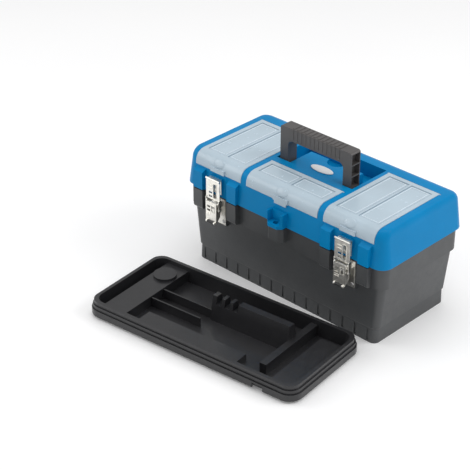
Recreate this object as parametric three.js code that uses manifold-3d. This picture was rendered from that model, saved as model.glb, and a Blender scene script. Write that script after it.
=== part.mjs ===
// Toolbox with a lift-out tray: a moulded tub, a lid with three organiser bins under hinged
// covers, a carry handle that folds back into the lid, and two toggle latches on the front.
// Millimetres, +Z up, +X to the right as seen from the front, -Y is the front.
// The origin is the centre of the tub's flat underside.
import * as THREE from 'three';
import { mergeVertices } from 'three/addons/utils/BufferGeometryUtils.js';
import Module from 'manifold-3d';

const wasm = await Module();
wasm.setup();

// ---------------------------------------------------------------- driving dimensions

// Lid shell, measured at its lower edge
const lidLength = 418;
const lidWidth = 199;
const lidEdgeHeight = 142.2; // lower edge above the ground
const lidRise = 60.8; // from the lower edge to the flat top
const lidWall = 3;
const lidCornerRadius = 20;
const lidDraftLength = 6; // the end walls lean in by this much up to the shoulder
const lidDraftWidth = 4.3; // and the front and rear walls by this much
const shoulderRadius = 17; // rounding of the long top edges
const shoulderEndInset = 6; // how far the top stops short of the end walls

// Tub
const tubTaperLength = 9.3; // half-length gained from the foot to the band
const tubTaperWidth = 2.9; // half-width gained from the foot to the band
const tubFootCornerRadius = 10;
const tubWall = 2.8;
const tubFloor = 3;
const tubDraftLength = 7.4; // half-length gained from the plinth to the band
const tubDraftWidth = 2.4;
const bandHeight = 38; // deep reinforcing band below the lid
const bandInset = 4.5; // the band stands this far inside the lid's edge
const bandStep = 5.2; // and this far outside the tub's wall
const bandChamfer = 3;
const bandCornerRadius = 18;
const edgeLap = 3.2; // the lid's edge laps this far down over the band
const seatGap = 0.4; // between the band's top and the rib of the lid that rests on it
const seatRibHeight = 2.6;
const seatRibWidth = 7;

// Plinth with vertical slots along the front and rear of the tub's foot
const plinthHeight = 25;
const plinthInset = 2.4;
const slotSpacing = 25;
const slotWidth = 4;
const slotDepth = 1.6;
const slotMargin = 3; // plinth left above and below each slot

// Rear hinge
const hingeSpacing = 220;
const hingeAxisBehindLid = 6.2; // axis behind the lid's rear wall
const hingeAxisBelowEdge = 1.2; // axis below the lid's edge
const knuckleRadius = 4.6;
const lidKnuckleWidth = 16;
const tubKnuckleWidth = 6;
const knuckleGap = 1;
const hingePinRadius = 2;
const pinClearance = 0.3;
const pinEndProud = 0.6; // a hinge pin stands this far out of its outer knuckles
const tubHingeArm = 15; // the tub's knuckle arms reach this far below the axis
const lidHingeArm = 20; // the lid's reach this far above its edge

// Organiser bins in the lid
const coverEndMargin = 24; // lid left outside the side covers
const coverPocketMargin = 8; // between the handle's pocket and the side covers
const coverSpacing = 12; // between the centre cover and the side covers
const sideCoverRearMargin = 35.2; // hinge axis of the side covers ahead of the shoulder
const centreCoverMargin = 16; // hinge axis of the centre cover ahead of the handle's pocket
const coverThickness = 3;
const coverProud = 0.7; // the covers stand this far above the lid
const coverGap = 0.35;
const coverFrontDrop = 22; // the covers' front edge below the lid's top
const binRim = 6; // width of the ledge that carries each cover
const binFloorRise = 22.8; // bin floors above the lid's edge, clear of the stowed tray's ridge
const binWall = 2.5;
const binDividerDrop = 9; // dividers stop this far below the covers
const coverPanelDepth = 0.8;
const coverPanelBorder = 8;
const coverPanelFront = 2; // the panels stop this far behind the rounded front
const coverPanelBar = 4; // raised bar between the two panels of a cover
const coverStubRadius = 1.1; // moulded pins that the covers turn on
const coverStubLength = 2;
const coverTabWidth = 30;
const coverTabHeight = 8;
const coverTabStep = 3; // the tab's lower part is narrower by this much on each side
const coverTabDrop = 5;
const coverTabThickness = 2.6;

// Folding handle and its pocket behind the centre bin
const handleHalfWidth = 73;
const handleReach = 68.3; // pivot to the top of the grip
const handleDepth = 21.4;
const handlePivotDrop = 10.5; // pivot below the lid's top
const handlePivotY = -7.1;
const handleUpright = 16;
const handleGripHeight = 22;
const handleOuterRadius = 4;
const handleInnerRadius = 9;
const handlePinRadius = 3;
const handlePinInnerSeat = 3.5; // how far each pin sits in the block
const handlePinOuterSeat = 3; // and in the pocket's end wall
const handleCellDepth = 9;
const handleWebThickness = 1.6;
const handleCells = 3;
const gripRibs = 12;
const gripRibHeight = 0.8;
const gripRibWidth = 4;
const gripRibSpacing = 8.6;
const gripRibInset = 2;
const pocketSideClearance = 5;
const pocketFrontClearance = 2.2;
const pocketRearClearance = 2;
const pocketFloorClearance = 3.3;
const pocketBlockDrop = 3.5; // the block in the pocket is this far below the lid's top
const pocketBlockClearance = 3;
const fingerNotchRadius = 16;

// Latches and the padlock lug between them
const latchEndMargin = 73.4; // each latch from the lid's end
const bossInner = 27; // the bosses beside a latch, from the latch's middle
const bossOuter = 47;
const bossTopDrop = 7; // tops of the bosses below the covers' front edge
const bossSlopeGap = 2; // the slope above a boss ends this far below the covers
const postDepth = 10; // posts and bosses stand this far out from the band
const postChamfer = 2;
const lugHalfWidth = 16;
const lugDepth = 16;
const lugTabGap = 9; // between the lug and the centre cover's tab
const lugDrop = 24.2; // the tub's half reaches this far below the lid's edge
const lugGap = 1.6;
const lugFloorThickness = 6;
const lugPocketWall = 3; // left on each side of the lug's pocket
const lugPocketBack = 1.5;
const padlockHoleRadius = 4.5;
const padlockHoleReach = 7; // hole's axis ahead of the lid's front wall
const latchPadSide = 1; // the pads stand this far out beside the base plates
const latchPadBelow = 2; // and this far below them
const leverPivotReach = 7.4; // pivot ahead of the lid's front wall
const leverPivotDrop = 11.2; // pivot below the lid's edge
const leverReach = 33; // pivot to the curled end
const leverHalfWidth = 11.7;
const leverEarDepth = 3.6; // the ears reach this far behind the pivot
const leverEarStart = 10; // full-depth ears start this far above the curled end
const leverCamHeight = 4; // the ears' rounded tops above the pivot
const leverCamHalf = 2;
const leverCurlRadius = 2.3;
const leverCurlInset = 2;
const leverFaceRise = 3; // top of the lever's face above its pivot
const plateSlotMiddle = 4.5; // long slots through lever and bail, right of the latch's middle
const plateSlotHalf = 3;
const plateWindowInner = 1.5; // short windows left of the middle
const plateWindowOuter = 8.5;
const plateWindowHeight = 3.5;
const plateWindowPitch = 6.5;
const leverOpeningsStart = 19; // above the curled end
const leverSlotLength = 12;
const sheetThickness = 1.2;
const leverFaceOffset = 5.8; // front face ahead of the pivot
const latchPinRadius = 1.4;
const latchPinClearance = 0.25;
const earGap = 0.4;
const bailArmGap = 0.5; // between the base plate's ears and the bail's arms
const bailPivotDrop = 10; // bail pivot below the lever's pivot
const bailBarDrop = 8; // bail bar below the covers' front edge
const bailPlateGap = 1.4; // between the base plate's ears and the bail's plate above them
const bailArmHalf = 2.6;
const bailEyeRadius = 3;
const bailBarRadius = 1.7;
const bailBarProud = 1.2; // bar's axis ahead of the pivot
const bailStrikeGap = 0.4;
const bailOpeningsStart = 3.5; // above the plate's lower edge
const bailSlotTopMargin = 6.5; // between the long slot and the bar
const basePlateHalfWidth = 17;
const basePlateHeight = 46;
const basePlateAbovePivot = 6;
const basePlateEarMargin = 3.2; // sheet left round the lever's pin
const baseRivetSpread = 12.8;
const baseRivetRise = 6.5; // above the base plate's lower edge
const strikeHalfWidth = 12;
const strikeStart = 4.8; // strike plate's lower edge above the lid's edge
const strikeAboveBar = 1;
const strikePadMargin = 1; // the pads under the strike plates are wider all round by this much
const strikeRivetSpread = 7;
const strikeRivetRise = 5;
const leverPinProud = 0.2;
const bailPinProud = 0.8;
const rivetHeadRadius = 3;
const rivetHeadHeight = 1.3;
const rivetShankRadius = 1.5;
const rivetTailRadius = 2.55;
const rivetTailHeight = 1;
const rivetDrillReach = 10; // the rivet holes are drilled this far past their walls
const fitGap = 0.3; // between pieces that touch

// Blank oval badge on the block under the handle
const badgeLength = 44;
const badgeWidth = 18;
const badgeThickness = 1.4;

// Lift-out tray, in its own frame (middle of its underside), and where it stands
const trayLedgeClearance = 1.2; // tray edge to the tub's band, all round
const trayHeight = 28.5;
const traySkirtLift = 4; // the skirt ends this far above the tray's underside
const traySkirtHeight = 11;
const trayBandHeight = 6.5; // stepped band between the skirt and the rim
const trayWall = 2.5;
const trayCornerRadius = 23;
const trayWellCornerRadius = 17;
const trayRimStep = 2; // each of the two steps from the skirt in to the rim
const trayRimWidth = 6;
const traySkirtGap = 3.2;
const trayEndWell = 15; // open floor left of the strip
const trayStripWidth = 44;
const trayStripHeight = 21;
const trayDividerHeight = 19;
const trayFrontDividerY = -12;
const trayRearDividerY = 18;
const trayShelfGap = 20; // between the strip and the shelf
const trayShelfLength = 190;
const trayShelfDepth = 40;
const trayShelfHeight = 15;
const trayBarWidth = 12;
const trayBarOverlap = 12; // the bar starts this far ahead of the shelf's rear
const traySlotLength = 20; // slot between the bar and the raised floor
const trayRaisedLength = 46.5;
const trayRaisedRear = 20; // open floor behind the raised floor
const trayBossRadius = 19;
const trayBossRear = 33; // round boss from the rear wall of the well
const trayBossRise = 4; // above the strip
const trayRidgeLength = 146;
const trayRidgeHeight = 44;
const trayRidgeTopWidth = 12;
const trayRidgeFootWidth = 30;
const trayRidgeY = 28;
const trayGripSlots = 3;
const trayGripSlotWidth = 10;
const trayGripSlotSpacing = 16;
const trayGripSlotDepth = 13;
const trayNotchWidth = 19;
const trayNotchHeight = 8;
const trayNotchFromEnd = 74.7;
const trayWellDraft = 2;
const trayPlaceX = -3;
const trayStandGap = 11.3; // between the lid and the nearest corner of the tray
const trayTurn = THREE.MathUtils.degToRad(6.5);

// How far a cutter runs past the face that it opens
const overrun = 1;

// Resolution of rounded outlines
const cornerSteps = 7;
const shoulderSteps = 5;
const roundSides = 20;
const pinSides = 16;

// ---------------------------------------------------------------- values that follow from them

const lidHalfX = lidLength / 2;
const lidHalfY = lidWidth / 2;
const lidTopHeight = lidEdgeHeight + lidRise;
const shoulderStart = lidTopHeight - shoulderRadius;
const shoulderHalfX = lidHalfX - lidDraftLength;
const shoulderHalfY = lidHalfY - lidDraftWidth;
const shoulderCornerRadius = lidCornerRadius - lidDraftWidth;
const bandHalfX = lidHalfX - bandInset;
const bandHalfY = lidHalfY - bandInset;
const bandTop = lidEdgeHeight + edgeLap - seatGap;
const bandBottom = lidEdgeHeight - bandHeight;
const tubTopHalfX = bandHalfX - bandStep;
const tubTopHalfY = bandHalfY - bandStep;
const tubFootHalfX = tubTopHalfX - tubTaperLength;
const tubFootHalfY = tubTopHalfY - tubTaperWidth;
const plinthTopHalfX = tubTopHalfX - tubDraftLength;
const plinthTopHalfY = tubTopHalfY - tubDraftWidth;
const hingeY = lidHalfY + hingeAxisBehindLid;
const hingeZ = lidEdgeHeight - hingeAxisBelowEdge;
const coverTop = lidTopHeight + coverProud;
const coverAxisHeight = coverTop - coverThickness / 2;
const coverFrontHeight = lidTopHeight - coverFrontDrop;
const binFloorHeight = lidEdgeHeight + binFloorRise;
const handlePivotHeight = lidTopHeight - handlePivotDrop;
const handleTopHeight = handlePivotHeight + handleReach;
const pocketHalfX = handleHalfWidth + pocketSideClearance;
const pocketFront = handlePivotY - handleDepth / 2 - pocketFrontClearance;
const pocketRear = handlePivotY + handleReach + gripRibHeight + pocketRearClearance;
const pocketFloor = handlePivotHeight - handleDepth / 2 - pocketFloorClearance;
const blockHalfX = handleHalfWidth - handleUpright - pocketBlockClearance;
const blockRear = handlePivotY + handleReach - handleGripHeight - pocketBlockClearance;
const blockTop = lidTopHeight - pocketBlockDrop;
const sideCoverInner = pocketHalfX + coverPocketMargin;
const sideCoverOuter = lidHalfX - coverEndMargin;
const sideCoverRear = shoulderHalfY - sideCoverRearMargin;
const centreCoverHalf = sideCoverInner - coverSpacing;
const centreCoverRear = pocketFront - centreCoverMargin;
const bandFrontY = -bandHalfY;
const latchOffset = lidHalfX - latchEndMargin;
const bossTopHeight = coverFrontHeight - bossTopDrop;
const lugLidTop = coverFrontHeight - coverTabDrop - lugTabGap;
const lugTubBottom = lidEdgeHeight - lugDrop;
const leverPivotY = -lidHalfY - leverPivotReach;
const leverPivotHeight = lidEdgeHeight - leverPivotDrop;
const basePlateTop = leverPivotHeight + basePlateAbovePivot;
const basePlateBottom = basePlateTop - basePlateHeight;
const strikeBottom = lidEdgeHeight + strikeStart;
const bailPivotHeight = leverPivotHeight - bailPivotDrop;
const baseEarInner = leverHalfWidth + earGap;
const baseEarOuter = baseEarInner + sheetThickness;
const bailArmInner = baseEarOuter + bailArmGap;
const bailArmOuter = bailArmInner + sheetThickness;
const basePlateBack = bandFrontY - fitGap;
const basePlateFront = basePlateBack - sheetThickness;
const strikeBack = -lidHalfY - fitGap;
const strikeFront = strikeBack - sheetThickness;
const bailBarY = leverPivotY - bailBarProud;
const bailBarHeight = coverFrontHeight - bailBarDrop;
const baseEarRadius = latchPinRadius + basePlateEarMargin;
const bailPlateStart = leverPivotHeight + baseEarRadius + bailPlateGap;
const strikeTop = bailBarHeight + strikeAboveBar;

// ---------------------------------------------------------------- shapes and booleans

function solid(geometry) {
  const bare = geometry.clone();
  bare.deleteAttribute('normal');
  bare.deleteAttribute('uv');
  const merged = mergeVertices(bare, 1e-4);
  return new wasm.Manifold(new wasm.Mesh({
    numProp: 3,
    vertProperties: new Float32Array(merged.attributes.position.array),
    triVerts: new Uint32Array(merged.index.array),
  }));
}

function joined(...shapes) {
  return shapes.flat().reduce((whole, shape) => whole.add(shape));
}

function cut(body, ...tools) {
  return tools.flat().reduce((rest, tool) => rest.subtract(tool), body);
}

function block(x0, x1, y0, y1, z0, z1) {
  const box = new THREE.BoxGeometry(x1 - x0, y1 - y0, z1 - z0);
  return solid(box.translate((x0 + x1) / 2, (y0 + y1) / 2, (z0 + z1) / 2));
}

// A round bar along X
function rodX(radius, x0, x1, y, z, sides = pinSides) {
  const rod = new THREE.CylinderGeometry(radius, radius, x1 - x0, sides).rotateZ(Math.PI / 2);
  return solid(rod.translate((x0 + x1) / 2, y, z));
}

// A round bar along Z
function rodZ(radius, x, y, z0, z1, sides = roundSides) {
  const rod = new THREE.CylinderGeometry(radius, radius, z1 - z0, sides).rotateX(Math.PI / 2);
  return solid(rod.translate(x, y, (z0 + z1) / 2));
}

// An outline drawn in Y and Z, extruded along X
function profileX(shape, x0, x1, curveSegments = shoulderSteps) {
  const bar = new THREE.ExtrudeGeometry(shape, { depth: x1 - x0, bevelEnabled: false, curveSegments });
  const turn = new THREE.Matrix4().makeBasis(
    new THREE.Vector3(0, 1, 0),
    new THREE.Vector3(0, 0, 1),
    new THREE.Vector3(1, 0, 0),
  );
  return solid(bar.applyMatrix4(turn).translate(x0, 0, 0));
}

// An outline drawn in X and Y, extruded along Z
function profileZ(shape, z0, z1, curveSegments = cornerSteps) {
  const bar = new THREE.ExtrudeGeometry(shape, { depth: z1 - z0, bevelEnabled: false, curveSegments });
  return solid(bar.translate(0, 0, z0));
}

function polygon(points) {
  return new THREE.Shape(points.map(([u, v]) => new THREE.Vector2(u, v)));
}

// One level of a tub: a rectangle with round corners, counter-clockwise
function roundedRing(halfX, halfY, radius) {
  const ring = [];
  for (let corner = 0; corner < 4; corner++) {
    const sideX = corner === 0 || corner === 3 ? 1 : -1;
    const sideY = corner < 2 ? 1 : -1;
    for (let step = 0; step <= cornerSteps; step++) {
      const angle = (corner + step / cornerSteps) * Math.PI / 2;
      ring.push([
        sideX * (halfX - radius) + radius * Math.cos(angle),
        sideY * (halfY - radius) + radius * Math.sin(angle),
      ]);
    }
  }
  return ring;
}

// A closed solid through a stack of levels, each [height, half-length, half-width, corner radius]
function loft(levels) {
  const positions = [];
  const indices = [];
  for (const [z, halfX, halfY, radius] of levels) {
    for (const [x, y] of roundedRing(halfX, halfY, radius)) {
      positions.push(x, y, z);
    }
  }
  const count = 4 * (cornerSteps + 1);
  const bottomMiddle = levels.length * count;
  const topMiddle = bottomMiddle + 1;
  positions.push(0, 0, levels[0][0], 0, 0, levels.at(-1)[0]);
  const topStart = (levels.length - 1) * count;
  for (let i = 0; i < count; i++) {
    const next = (i + 1) % count;
    for (let start = 0; start < topStart; start += count) {
      indices.push(start + i, start + next, start + count + next);
      indices.push(start + i, start + count + next, start + count + i);
    }
    indices.push(bottomMiddle, next, i);
    indices.push(topMiddle, topStart + i, topStart + next);
  }
  const geometry = new THREE.BufferGeometry();
  geometry.setAttribute('position', new THREE.Float32BufferAttribute(positions, 3));
  geometry.setIndex(indices);
  return solid(geometry);
}

const toolbox = new THREE.Group();

function addPart(parent, name, shape, finish) {
  const { vertProperties, triVerts } = shape.getMesh();
  const geometry = new THREE.BufferGeometry();
  geometry.setAttribute('position', new THREE.Float32BufferAttribute(vertProperties, 3));
  geometry.setIndex([...triVerts]);
  const mesh = new THREE.Mesh(geometry, new THREE.MeshStandardMaterial(finish));
  mesh.name = name;
  parent.add(mesh);
  return mesh;
}

// ---------------------------------------------------------------- finishes

const charcoalPlastic = { color: 0x2e3134, roughness: 0.55, metalness: 0 };
const bluePlastic = { color: 0x0a7fb8, roughness: 0.5, metalness: 0 };
const frostedPlastic = { color: 0xb4c4d0, roughness: 0.45, metalness: 0, transparent: true, opacity: 0.75 };
const handlePlastic = { color: 0x4a4a4b, roughness: 0.5, metalness: 0 };
const nickelSteel = { color: 0xb9b4a6, roughness: 0.25, metalness: 1 };
const zincSteel = { color: 0x9a9c9e, roughness: 0.35, metalness: 1 };
const badgePlastic = { color: 0xd8dadb, roughness: 0.4, metalness: 0 };

// ---------------------------------------------------------------- latch positions and padlock lug

const latchSides = [['left', -latchOffset], ['right', latchOffset]];

// The upright bosses on both sides of each latch, from their back plane to their front
function bossBlocks(makeBoss) {
  return latchSides.flatMap(([, middle]) => [
    makeBoss(middle - bossOuter, middle - bossInner),
    makeBoss(middle + bossInner, middle + bossOuter),
  ]);
}

function lugOutline(depth) {
  const chamfer = depth / 3;
  return polygon([
    [-lugHalfWidth, 0],
    [-lugHalfWidth, -depth + chamfer],
    [-lugHalfWidth + chamfer, -depth],
    [lugHalfWidth - chamfer, -depth],
    [lugHalfWidth, -depth + chamfer],
    [lugHalfWidth, 0],
  ]);
}

// ---------------------------------------------------------------- tub

function tubOutside() {
  return loft([
    [0, tubFootHalfX, tubFootHalfY, tubFootCornerRadius],
    [plinthHeight, plinthTopHalfX - plinthInset, plinthTopHalfY - plinthInset / 2, tubFootCornerRadius],
    [plinthHeight + plinthInset, plinthTopHalfX, plinthTopHalfY, tubFootCornerRadius + plinthInset / 2],
    [bandBottom - bandChamfer, tubTopHalfX, tubTopHalfY, bandCornerRadius - bandStep],
    [bandBottom, bandHalfX, bandHalfY, bandCornerRadius],
    [bandTop, bandHalfX, bandHalfY, bandCornerRadius],
  ]);
}

const tubInnerFootY = tubFootHalfY - tubWall - plinthInset / 2;
const tubInnerTopY = tubTopHalfY - tubWall;

// Half the width inside the tub at a height below the band, where the walls lean out
function tubInnerHalfY(z) {
  return THREE.MathUtils.mapLinear(z, tubFloor, bandBottom, tubInnerFootY, tubInnerTopY);
}

function tubInside() {
  const footHalfX = tubFootHalfX - tubWall - plinthInset / 2;
  const cornerRadius = bandCornerRadius - tubWall;
  return loft([
    [tubFloor, footHalfX, tubInnerFootY, tubFootCornerRadius - tubWall],
    [bandBottom, tubTopHalfX - tubWall, tubInnerTopY, cornerRadius - bandStep],
    [bandBottom, bandHalfX - tubWall, bandHalfY - tubWall, cornerRadius],
    [bandTop + overrun, bandHalfX - tubWall, bandHalfY - tubWall, cornerRadius],
  ]);
}

// Places of the slots along one side, as many as fit between the rounded corners
function slotPlaces(halfLength) {
  const each = Math.floor((halfLength - tubFootCornerRadius - slotWidth / 2) / slotSpacing);
  return Array.from({ length: 2 * each + 1 }, (_, i) => (i - each) * slotSpacing);
}

function plinthSlots() {
  const bottom = slotMargin;
  const top = plinthHeight - slotMargin;
  const half = slotWidth / 2;
  const deep = tubFootHalfY - slotDepth;
  const out = tubFootHalfY + overrun;
  return slotPlaces(tubFootHalfX).flatMap((x) => [
    block(x - half, x + half, -out, -deep, bottom, top),
    block(x - half, x + half, deep, out, bottom, top),
  ]);
}

// Solid pads under the latch base plates, which hang below the band
function latchPads() {
  return latchSides.map(([, middle]) => block(
    middle - basePlateHalfWidth - latchPadSide, middle + basePlateHalfWidth + latchPadSide,
    bandFrontY, -tubTopHalfY + tubWall / 2, basePlateBottom - latchPadBelow, bandBottom + bandChamfer,
  ));
}

function tubPosts() {
  return bossBlocks((x0, x1) => profileX(polygon([
    [bandFrontY + tubWall / 2, bandBottom],
    [bandFrontY - postDepth + postChamfer, bandBottom + bandChamfer],
    [bandFrontY - postDepth, bandBottom + 2 * bandChamfer],
    [bandFrontY - postDepth, lidEdgeHeight - lugGap / 2],
    [bandFrontY + tubWall / 2, lidEdgeHeight - lugGap / 2],
  ]), x0, x1));
}

function tubLug() {
  const outline = lugOutline(lugDepth + bandInset - tubWall / 2);
  const front = profileZ(outline, lugTubBottom, lidEdgeHeight - lugGap / 2);
  return front.translate(0, bandFrontY + tubWall / 2, 0);
}

function padlockHole() {
  const y = -lidHalfY - padlockHoleReach;
  return rodZ(padlockHoleRadius, 0, y, lugTubBottom - overrun, lugLidTop + overrun);
}

function tubHingeKnuckles() {
  const wallY = bandHalfY - tubWall / 2;
  const knuckles = [];
  for (const middle of [-hingeSpacing / 2, hingeSpacing / 2]) {
    for (const side of [-1, 1]) {
      const near = middle + side * (lidKnuckleWidth / 2 + knuckleGap);
      const far = near + side * tubKnuckleWidth;
      const [x0, x1] = [Math.min(near, far), Math.max(near, far)];
      knuckles.push(rodX(knuckleRadius, x0, x1, hingeY, hingeZ, roundSides));
      knuckles.push(profileX(polygon([
        [wallY, hingeZ - tubHingeArm],
        [hingeY, hingeZ - knuckleRadius],
        [hingeY, hingeZ],
        [wallY, hingeZ],
      ]), x0, x1));
    }
  }
  return knuckles;
}

function hingePinBores() {
  const reach = lidKnuckleWidth / 2 + knuckleGap + tubKnuckleWidth + overrun;
  return [-hingeSpacing / 2, hingeSpacing / 2].map((middle) => (
    rodX(hingePinRadius + pinClearance, middle - reach, middle + reach, hingeY, hingeZ)
  ));
}

// Two rivets hold each latch base plate, one on each side of the lever's curled end
function baseRivetPlaces(middle) {
  const z = basePlateBottom + baseRivetRise;
  return [[middle - baseRivetSpread, z], [middle + baseRivetSpread, z]];
}

function strikeRivetPlaces(middle) {
  const z = strikeBottom + strikeRivetRise;
  return [[middle - strikeRivetSpread, z], [middle + strikeRivetSpread, z]];
}

// A rivet hole along Y
function rivetHole(x, z, y0, y1) {
  const hole = new THREE.CylinderGeometry(
    rivetShankRadius + fitGap, rivetShankRadius + fitGap, y1 - y0, pinSides,
  );
  return solid(hole.translate(x, (y0 + y1) / 2, z));
}

function tubShell() {
  const rivetHoles = latchSides.flatMap(([, middle]) => baseRivetPlaces(middle))
    .map(([x, z]) => rivetHole(x, z, bandFrontY - rivetDrillReach, -tubInnerTopY + rivetDrillReach));
  const whole = joined(
    cut(tubOutside(), tubInside(), plinthSlots()),
    latchPads(), tubPosts(), tubLug(), tubHingeKnuckles(),
  );
  return cut(whole, rivetHoles, padlockHole(), hingePinBores());
}

// ---------------------------------------------------------------- lid

// The lid's outer form, grown by a distance, or shrunk by a negative one
function lidForm(grow, bottom) {
  const levels = [
    [bottom, lidHalfX + grow, lidHalfY + grow, lidCornerRadius + grow],
    [shoulderStart, shoulderHalfX + grow, shoulderHalfY + grow, shoulderCornerRadius + grow],
  ];
  for (let step = 1; step <= shoulderSteps; step++) {
    const angle = step / shoulderSteps * Math.PI / 2;
    const rise = (shoulderRadius + grow) * Math.sin(angle);
    const insetY = (shoulderRadius + grow) * (1 - Math.cos(angle));
    const insetX = insetY * shoulderEndInset / shoulderRadius;
    levels.push([
      shoulderStart + rise,
      shoulderHalfX + grow - insetX,
      shoulderHalfY + grow - insetY,
      shoulderCornerRadius + grow - insetX,
    ]);
  }
  return loft(levels);
}

// Half the lid's width at a height below the shoulder
function lidHalfWidthAt(z) {
  return THREE.MathUtils.mapLinear(z, lidEdgeHeight, shoulderStart, lidHalfY, shoulderHalfY);
}

const coverPlaces = [
  { name: 'left', x0: -sideCoverOuter, x1: -sideCoverInner, rear: sideCoverRear, tabDrop: 0 },
  { name: 'centre', x0: -centreCoverHalf, x1: centreCoverHalf, rear: centreCoverRear, tabDrop: coverTabDrop },
  { name: 'right', x0: sideCoverInner, x1: sideCoverOuter, rear: sideCoverRear, tabDrop: 0 },
];

// The Y and Z outline between two offsets from the lid's surface, from a rear edge round the shoulder
function coverBand(rear, inner, outer, front) {
  const middleY = -(shoulderHalfY - shoulderRadius);
  const outerRadius = shoulderRadius + outer;
  const innerRadius = shoulderRadius + inner;
  const shape = new THREE.Shape();
  shape.moveTo(rear, lidTopHeight + inner);
  shape.lineTo(rear, lidTopHeight + outer);
  shape.lineTo(middleY, lidTopHeight + outer);
  shape.absarc(middleY, shoulderStart, outerRadius, Math.PI / 2, Math.PI, false);
  shape.lineTo(middleY - outerRadius, front);
  shape.lineTo(middleY - innerRadius, front);
  shape.absarc(middleY, shoulderStart, innerRadius, Math.PI, Math.PI / 2, true);
  return shape;
}

function coverRecess({ x0, x1, rear }) {
  const seat = coverProud - coverThickness - coverGap;
  const rearClearance = coverThickness / 2 + 2 * coverGap;
  const band = coverBand(rear + rearClearance, seat, shoulderRadius, coverFrontHeight - coverGap);
  const stub = coverStubRadius + pinClearance;
  const reach = coverGap + coverStubLength + pinClearance;
  return [
    profileX(band, x0 - coverGap, x1 + coverGap),
    rodX(stub, x0 - reach, x1 + reach, rear, coverAxisHeight),
  ];
}

function binBounds({ x0, x1, rear }) {
  return { x0: x0 + binRim, x1: x1 - binRim, y0: -shoulderHalfY + binRim + binWall, y1: rear - binRim };
}

function binSpace(place) {
  const bin = binBounds(place);
  const space = block(bin.x0, bin.x1, bin.y0, bin.y1, binFloorHeight, lidTopHeight + overrun);
  const bottom = binFloorHeight - overrun;
  const dividerTop = lidTopHeight - binDividerDrop;
  const middleX = (bin.x0 + bin.x1) / 2;
  const middleY = (bin.y0 + bin.y1) / 2;
  const halfWall = binWall / 2;
  const along = block(
    middleX - halfWall, middleX + halfWall, bin.y0 - overrun, bin.y1 + overrun, bottom, dividerTop,
  );
  const across = block(
    bin.x0 - overrun, bin.x1 + overrun, middleY - halfWall, middleY + halfWall, bottom, dividerTop,
  );
  const isLong = bin.y1 - bin.y0 > bin.x1 - bin.x0;
  return cut(space, isLong ? [along, across] : [along]);
}

// The material that wraps a bin, which the lid's inner hollow leaves in place
function binJacket(place) {
  const bin = binBounds(place);
  const wrap = binWall;
  const floorTop = binFloorHeight - wrap;
  return joined(
    block(bin.x0 - wrap, bin.x1 + wrap, -lidHalfY, bin.y1 + wrap, floorTop, lidTopHeight),
    block(place.x0 - wrap, place.x1 + wrap, -lidHalfY, place.rear + 2 * wrap + coverStubRadius,
      lidTopHeight - coverThickness - 2 * wrap, lidTopHeight),
    block(place.x0 - wrap, place.x1 + wrap, -lidHalfY, bin.y0,
      coverFrontHeight - 2 * wrap, lidTopHeight),
  );
}

function fingerNotch(radius, z0, z1) {
  return rodZ(radius, 0, blockRear, z0, z1);
}

function handlePocket() {
  const room = block(-pocketHalfX, pocketHalfX, pocketFront, pocketRear, pocketFloor, lidTopHeight + overrun);
  const island = block(
    -blockHalfX, blockHalfX, pocketFront - overrun, blockRear, pocketFloor - overrun, blockTop,
  );
  const notch = fingerNotch(fingerNotchRadius, pocketFloor - 2 * overrun, blockTop + overrun);
  return room.subtract(island.subtract(notch));
}

function pocketJacket() {
  const wrap = binWall;
  const room = block(
    -pocketHalfX - wrap, pocketHalfX + wrap, pocketFront - wrap, pocketRear + wrap,
    pocketFloor - wrap, lidTopHeight,
  );
  const hollow = block(
    -blockHalfX + wrap, blockHalfX - wrap, pocketFront + wrap, blockRear - wrap,
    pocketFloor - 2 * wrap, blockTop - wrap,
  );
  const notch = fingerNotch(fingerNotchRadius + wrap, pocketFloor - 3 * wrap, blockTop);
  return room.subtract(hollow.subtract(notch));
}

function lidHollow() {
  const inner = lidForm(-lidWall, lidEdgeHeight - overrun);
  const seatRib = loft([
    [lidEdgeHeight + edgeLap, lidHalfX, lidHalfY, lidCornerRadius],
    [lidEdgeHeight + edgeLap + seatRibHeight, lidHalfX, lidHalfY, lidCornerRadius],
  ]);
  const ribOpening = loft([
    [lidEdgeHeight, lidHalfX - seatRibWidth, lidHalfY - seatRibWidth, lidCornerRadius - seatRibWidth],
    [lidTopHeight, lidHalfX - seatRibWidth, lidHalfY - seatRibWidth, lidCornerRadius - seatRibWidth],
  ]);
  const jackets = coverPlaces.map(binJacket);
  return cut(inner, jackets, pocketJacket(), seatRib.subtract(ribOpening));
}

function lidBosses() {
  const front = bandFrontY - postDepth;
  return bossBlocks((x0, x1) => profileX(polygon([
    [-lidHalfY + lidWall / 2, lidEdgeHeight + lugGap / 2],
    [front, lidEdgeHeight + lugGap / 2],
    [front, bossTopHeight],
    [-shoulderHalfY + lidWall / 2, coverFrontHeight - bossSlopeGap],
  ]), x0, x1));
}

function lidLug() {
  const back = lidHalfWidthAt(lugLidTop) - lidWall / 2;
  const outline = lugOutline(lugDepth + lidHalfY - back);
  return profileZ(outline, lidEdgeHeight + lugGap / 2, lugLidTop).translate(0, -back, 0);
}

// Flat pads on the leaning front wall, under the strike plates
function strikePads() {
  const bottom = strikeBottom - strikePadMargin;
  const top = strikeTop + strikePadMargin;
  const half = strikeHalfWidth + strikePadMargin;
  return latchSides.map(([, middle]) => profileX(polygon([
    [-lidHalfY, bottom],
    [-lidHalfY, top],
    [-lidHalfWidthAt(top) + lidWall / 2, top],
    [-lidHalfWidthAt(bottom) + lidWall / 2, bottom],
  ]), middle - half, middle + half));
}

// The pocket above the padlock hole, open to the front and above, that the shackle swings in
function lidLugPocket() {
  const half = lugHalfWidth - lugPocketWall;
  const floorTop = lidEdgeHeight + lugGap / 2 + lugFloorThickness;
  return block(
    -half, half, -lidHalfY - lugDepth - overrun, -lidHalfY - lugPocketBack, floorTop, lugLidTop + overrun,
  );
}

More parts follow.
